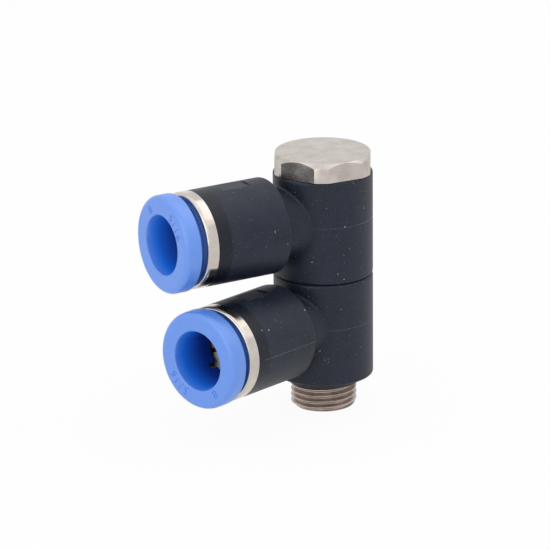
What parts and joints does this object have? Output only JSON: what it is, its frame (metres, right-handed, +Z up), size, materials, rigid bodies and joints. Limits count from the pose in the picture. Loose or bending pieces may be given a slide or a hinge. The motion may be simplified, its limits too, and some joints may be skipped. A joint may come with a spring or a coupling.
{
  "type": "double banjo fitting",
  "caption": "Swivelling pneumatic fitting: stacked elbow bodies on a hollow banjo bolt with a port thread, each with a push-in tube socket and a sprung release ring.",
  "frame": {"origin": "on the bolt's axis, in the plane of the port's face that the seal rests on", "axes": "+Z up the bolt towards its hexagon head, -X along the upper arm towards its tube socket; the lower arm points 16.4 degrees from the upper one, towards -Y"},
  "size_m": [0.0359, 0.0218, 0.0389],
  "materials": {
    "plated_brass": "nickel plated, satin turned",
    "body_plastic": "black moulded, fine grain",
    "inner_plastic": "black moulded",
    "release_plastic": "blue moulded, satin",
    "seal_rubber": "moulded rubber",
    "claw_steel": "spring steel"
  },
  "bodies": {
    "bolt": {"banjo_bolt": "plated_brass", "port_seal": "seal_rubber", "lower_bottom_ring": "seal_rubber", "lower_top_ring": "seal_rubber", "upper_bottom_ring": "seal_rubber", "upper_top_ring": "seal_rubber"},
    "lower_elbow": {"lower_body": "body_plastic", "lower_tube_seal": "seal_rubber", "lower_back_ring": "inner_plastic", "lower_lock_claw": "claw_steel", "lower_guide_ring": "plated_brass"},
    "upper_elbow": {"upper_body": "body_plastic", "upper_tube_seal": "seal_rubber", "upper_back_ring": "inner_plastic", "upper_lock_claw": "claw_steel", "upper_guide_ring": "plated_brass"},
    "lower_release": {"lower_release_ring": "release_plastic"},
    "upper_release": {"upper_release_ring": "release_plastic"}
  },
  "joints": [
    {"name": "lower_swivel", "type": "hinge", "parent": "bolt", "child": "lower_elbow", "pos_m": [0, 0, 0.0098], "axis": [0, 0, 1], "continuous": true},
    {"name": "upper_swivel", "type": "hinge", "parent": "bolt", "child": "upper_elbow", "pos_m": [0, 0, 0.02545], "axis": [0, 0, 1], "continuous": true},
    {"name": "lower_push", "type": "slide", "parent": "lower_elbow", "child": "lower_release", "axis": [0.9593, 0.2823, 0], "range_m": [0, 0.001], "stiffness_N_per_m": 500, "springref_m": -0.0005},
    {"name": "upper_push", "type": "slide", "parent": "upper_elbow", "child": "upper_release", "axis": [1, 0, 0], "range_m": [0, 0.001], "stiffness_N_per_m": 500, "springref_m": -0.0005}
  ]
}
